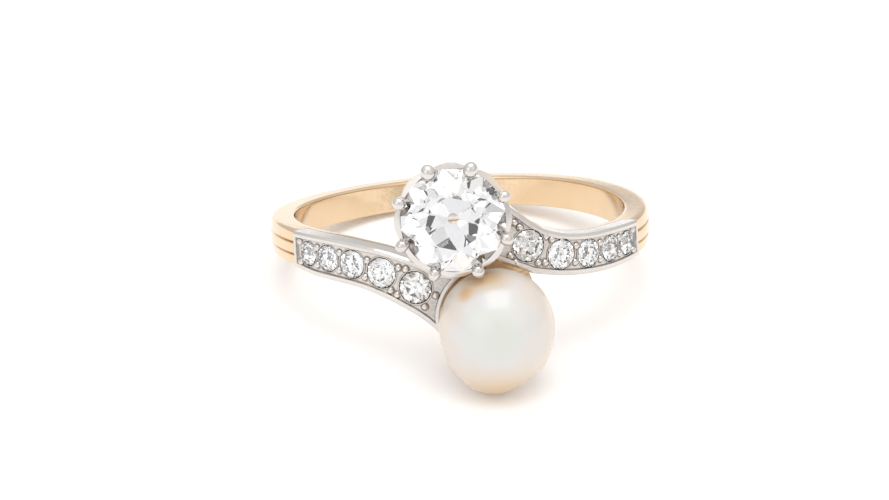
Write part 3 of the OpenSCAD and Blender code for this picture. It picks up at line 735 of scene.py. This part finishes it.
# The pearl's three balls in its own frame: middle across and up, and radius, in mm. They are a
# little smaller than the source's, because the soft maximum adds to them where they meet.
PEARL_BALLS = np.array([[0, 0, PEARL_D / 2], [-0.24, -1.25, 2.19], [1.32, -1.35, 1.24]])
PEARL_BALLS[:, 2] *= 0.985
PEARL_POWER = 32        # of the soft maximum, higher being sharper


def make_pearl():
    """Nacre body: the smooth shape whose reach in each direction is a soft maximum of the reach
    of three balls, drawn at the points that give that reach."""
    t = np.linspace(0, np.pi, 97)[:, None]
    p = np.radians(np.arange(192) * 360 / 192)[None]
    n = np.stack(np.broadcast_arrays(np.sin(t) * np.cos(p), np.cos(t), np.sin(t) * np.sin(p)), -1)
    centres, radii = PEARL_BALLS * [1, 1, 0], PEARL_BALLS[:, 2:]
    reach = np.maximum(n @ centres.T + radii[:, 0], 0.01)
    total = (reach ** PEARL_POWER).sum(-1, keepdims=True) ** (1 / PEARL_POWER)
    weight = (reach / total) ** (PEARL_POWER - 1)
    local = weight @ centres + n * (weight @ radii) + [0, 0, PEARL_OUT]
    return piece("pearl_body", NACRE, [(outward(PEARL_TURN, PEARL_UP, local), False, True)],
                 replaces=["pearl"])


# The collet, in its own frame: its height is measured out from the girdle
CLAWS = 8
CLAW_TURN = 1.0         # degrees
LOBE_OUT = 0.18
BEAD_D, CLAW_D = 0.62, 0.66
BEAD_LIFT = 0.65 * BEAD_D
BEAD_SIZES = [1, 1.22, 1.25, 1.05, 1, 0.97, 1, 1.02]   # of the claws in turn, two being heavier
BEAD_FORM = np.array([1.12, 1.0, 0.9])      # pushed over the stone: longer inwards, and lower
CLAW_CIRCLE = DIAMOND_D / 2 + BEAD_D / 3
# Rings of the wall, outside, up to the rim: height as a share of COLLET_H, swing of the lobes
# as a share of LOBE_OUT
COLLET_RINGS = np.array([
    [-1.15, 0], [-0.9, 0], [-0.66, 0.12], [-0.5, 0.36], [-0.33, 0.6], [-0.2, 0.8], [-0.1, 0.9],
    [-0.04, 0.97]])
COLLET_INSIDE = 0.36 * COLLET_FOOT_D


def collet_r(w):
    """Radius of the collet's wall, without its lobes, at a height from the girdle."""
    return mix(COLLET_FOOT_D / 2, DIAMOND_D / 2 + 0.1, (w + COLLET_H) / COLLET_H)


def rod(start, stop, r0, r1, around=16):
    """A tapering round rod between two points of a local frame, closed at both ends."""
    axis = (stop - start) / np.linalg.norm(stop - start)
    first = np.cross(axis, [0, 0, 1.0]) if abs(axis[2]) < 0.9 else np.cross(axis, [0, 1.0, 0])
    first /= np.linalg.norm(first)
    second = np.cross(axis, first)
    phi = np.arange(around) * 2 * np.pi / around
    ring = np.cos(phi)[:, None] * first + np.sin(phi)[:, None] * second
    between = (mix(start, stop, t) + mix(r0, r1, t) * ring for t in (0.25, 0.5, 0.75))
    return np.stack([start + 0 * ring, start + r0 * ring, *between,
                     stop + r1 * ring, stop + 0 * ring])


def bead(size, turn):
    """Round end of a claw, about its own middle: an egg that keeps its outer side on the claw's,
    whatever its size, and grows inwards over the stone."""
    s, p = np.linspace(0, np.pi, 15)[:, None], np.radians(np.arange(28) * 360 / 28)[None]
    out, over, tall = size * BEAD_D / 2 * BEAD_FORM
    inward = out - BEAD_D / 2
    egg = np.stack(np.broadcast_arrays(
        out * np.sin(s) * np.cos(p) - inward, over * np.sin(s) * np.sin(p), -tall * np.cos(s)), -1)
    return egg @ rotation(2, turn).T


def make_collet():
    """Scalloped collet: its wall's section swings out between the claws, by the size of a sine
    of half as many waves as there are claws. Each claw is a rod with a round bead."""
    phi = np.arange(CLAWS * 30) * 360 / (CLAWS * 30)
    lobe = np.abs(np.sin(np.radians(CLAWS / 2 * (phi - 180 / CLAWS - CLAW_TURN))))[None]
    w = COLLET_H * COLLET_RINGS[:, :1]
    swell = COLLET_RINGS[:, 1:] * LOBE_OUT
    seat = DIAMOND_D / 2 + STONE_FIT / 3
    ledge, under = -GIRDLE_SHARE * DIAMOND_D / 2 - STONE_FIT, 0.105 * DIAMOND_D / 2
    rim = (0.03 - 0.045 * lobe) * DIAMOND_D / 2
    edge, one = collet_r(0) + LOBE_OUT * lobe, np.ones_like(lobe)
    # the lip is rubbed up against the stone's edge and a hair over it
    lip_r, lip_h = DIAMOND_D / 2 - 0.03, GIRDLE_SHARE * DIAMOND_D / 2 + 0.034
    r, h = (np.concatenate(rings) for rings in zip(
        (collet_r(w) * one + swell * lobe, w * one),
        (edge, rim - 0.04), (edge - 0.006, rim - 0.012), (edge - 0.025, rim),
        (mix(edge, lip_r, 0.5), mix(rim, lip_h, 0.35) + 0.01),
        (mix(edge, lip_r, 0.85), mix(rim, lip_h, 0.8) + 0.012),
        (lip_r * one, lip_h * one), (seat * one, (lip_h - 0.02) * one),
        (seat * one, ledge * one), ((seat - under) * one, (ledge - under) * one),
        (COLLET_INSIDE * one, -0.7 * COLLET_H * one),
        (COLLET_INSIDE * one, -1.15 * COLLET_H * one)))
    angle = np.radians(phi)
    local = np.stack([r * np.cos(angle), r * np.sin(angle), h + DIAMOND_OUT], -1)
    # nothing of the collet reaches into the gallery
    gallery = np.sqrt((GALLERY_R + SEAM) ** 2 - local[..., 0] ** 2)
    local[..., 2] = np.maximum(local[..., 2], gallery)
    surfaces = [(outward(DIAMOND_TURN, DIAMOND_UP, local), True, True)]
    foot = COLLET_FOOT_D / 2 - CLAW_D / 4
    for k, size in enumerate(BEAD_SIZES):
        t = np.radians((k + 0.5) * 360 / CLAWS + CLAW_TURN)
        start = np.array([foot * np.cos(t), foot * np.sin(t), DIAMOND_OUT - COLLET_H + 0.1])
        stop = np.array([CLAW_CIRCLE * np.cos(t), CLAW_CIRCLE * np.sin(t), DIAMOND_OUT + BEAD_LIFT])
        claw = rod(start, stop, CLAW_D / 2, 0.5 * BEAD_D, around=32)
        for part in (claw, stop + bead(size, math.degrees(t))):
            surfaces.append((outward(DIAMOND_TURN, DIAMOND_UP, part), False, True))
    return piece("claw_collet", PLATINUM, surfaces, replaces=["collet"], sharp=40)


make_shank()
make_facing(1, "right_facing")
make_facing(-1, "left_facing")
make_collet()
make_pearl()

# Stage, light and camera
HEAD_TURN = 3.5         # degrees that the head is turned from the camera
CAMERA_UP = 12.0        # degrees above the plane of the hoop
CAMERA_ROLL = 3.1       # degrees, its right side up
CAMERA_FAR = 250.0      # mm from the hoop's centre
PX_PER_MM = 19.15       # at the hoop's centre
HOOP_PX = (460.0, 224.8)
IMAGE = (889, 500)
SENSOR = 36.0


def make_camera():
    """Camera at the photograph's angle to the ring, aimed along a line to the hoop's centre and
    shifted until that centre stands where it does in the photograph."""
    up = math.radians(CAMERA_UP)
    away = np.array([0, -math.cos(up), math.sin(up)])
    high = np.array([0, math.sin(up), math.cos(up)])
    to_ring = rotation(2, -HEAD_TURN)
    away, high, right = (to_ring @ v for v in (away, high, np.array([1.0, 0, 0])))
    r = math.radians(CAMERA_ROLL)
    right, high = right * math.cos(r) - high * math.sin(r), right * math.sin(r) + high * math.cos(r)
    place = laid((away * CAMERA_FAR)[None])[0]
    axes = np.array([LAY @ right, LAY @ high, LAY @ away])
    data = bpy.data.cameras.new("camera")
    camera = bpy.data.objects.new("camera", data)
    bpy.context.scene.collection.objects.link(camera)
    camera.matrix_world = Matrix([[*axes[:, i], place[i]] for i in range(3)] + [[0, 0, 0, 1]])
    data.sensor_width = SENSOR
    data.lens = PX_PER_MM * CAMERA_FAR * SENSOR / IMAGE[0]
    data.shift_x = -(HOOP_PX[0] - IMAGE[0] / 2) / IMAGE[0]
    data.shift_y = (HOOP_PX[1] - IMAGE[1] / 2) / IMAGE[0]
    data.clip_start, data.clip_end = 0.01, 10
    bpy.context.scene.camera = camera


LAMP_PLACE = (0, -0.05, 0.4)    # metres, over the ring and a little in front
LAMP_SIZE = 0.3         # metres, its side
LAMP_POWER = 0.55       # watts
FLOOR_HALF = 1.5        # metres


def overhead_lamp():
    """A square soft light that faces the ring."""
    data = bpy.data.lights.new("overhead", "AREA")
    data.shape = "RECTANGLE"
    data.size = data.size_y = LAMP_SIZE
    data.energy = LAMP_POWER
    light = bpy.data.objects.new("overhead", data)
    light.location = LAMP_PLACE
    light.rotation_euler = (-Vector(LAMP_PLACE)).to_track_quat("-Z", "Y").to_euler()
    bpy.context.scene.collection.objects.link(light)


def make_stage():
    """A plain pale table of matt board that glows a little: painted light, which washes out the
    ring's shadow on it and lights the ring from below.
    """
    floor = bpy.data.meshes.new("floor")
    corners = [(-1, -1), (1, -1), (1, 1), (-1, 1)]
    floor.from_pydata([(x * FLOOR_HALF, y * FLOOR_HALF, 0) for x, y in corners], [], [(0, 1, 2, 3)])
    table = bpy.data.objects.new("floor", floor)
    bpy.context.scene.collection.objects.link(table)
    made, tree = material("pale_floor")
    # the glow is painted light, which washes out the ring's shadow on the table
    shader = add(tree, "ShaderNodeBsdfPrincipled", {
        "Base Color": linear("#f6f6f6"), "Roughness": 0.6,
        "Emission Color": linear("#ffffff"), "Emission Strength": 0.13})
    add(tree, "ShaderNodeOutputMaterial", {"Surface": shader.outputs[0]})
    floor.materials.append(made)
    make_studio()
    bpy.context.scene.view_settings.view_transform = "Standard"
    overhead_lamp()


TENT_STRENGTH = 1.38
HORIZON, ZENITH = "#c0bfbe", "#dadada"
# Places of the studio as the ring mirrors them: direction in the ring's frame, degrees from it at
# which each begins to fade and is gone, colour. They are the pale wall in front of the head, a
# lamp's white screen to its left, a warm one to its right, and the dark opening for the camera.
STUDIO_PLACES = [
    ((-0.061, -0.976, 0.208), 10, 48, "#dcdddf"),
    ((-0.60, -0.75, 0.30), 12, 24, "#ffffff"),
    ((0.62, -0.72, 0.30), 8, 20, "#f2e6da"),
    ((-0.061, -0.976, 0.208), 3.5, 9, "#8f5f50"),
]


def make_studio():
    """White tent of soft light: brightest at the screens, bright overhead and a little darker
    towards the table's horizon. Each place is mixed in by the cosine of the angle from it."""
    world = bpy.data.worlds.new("studio")
    bpy.context.scene.world = world
    world.use_nodes = True
    tree = world.node_tree
    tree.nodes.clear()
    way = add(tree, "ShaderNodeTexCoord").outputs["Generated"]
    high = add(tree, "ShaderNodeSeparateXYZ", {"Vector": way}).outputs["Z"]
    climb = add(tree, "ShaderNodeMapRange", {"Value": high, "From Min": 0.0, "From Max": 0.9},
                interpolation_type="SMOOTHSTEP")
    colour = add(tree, "ShaderNodeMix", {
        "Factor": climb.outputs[0], "A": linear(HORIZON), "B": linear(ZENITH)}, data_type="RGBA")
    for direction, full, none, seen in STUDIO_PLACES:
        towards = add(tree, "ShaderNodeVectorMath", {
            0: way, 1: LAY @ np.array(direction)}, operation="DOT_PRODUCT")
        inside = add(tree, "ShaderNodeMapRange", {
            "Value": towards.outputs["Value"], "From Min": math.cos(math.radians(none)),
            "From Max": math.cos(math.radians(full))}, interpolation_type="SMOOTHSTEP")
        colour = add(tree, "ShaderNodeMix", {
            "Factor": inside.outputs[0], "A": colour.outputs["Result"], "B": linear(seen)},
            data_type="RGBA")
    light = add(tree, "ShaderNodeBackground", {
        "Color": colour.outputs["Result"], "Strength": TENT_STRENGTH})
    add(tree, "ShaderNodeOutputWorld", {"Surface": light.outputs[0]})


make_stage()
make_camera()
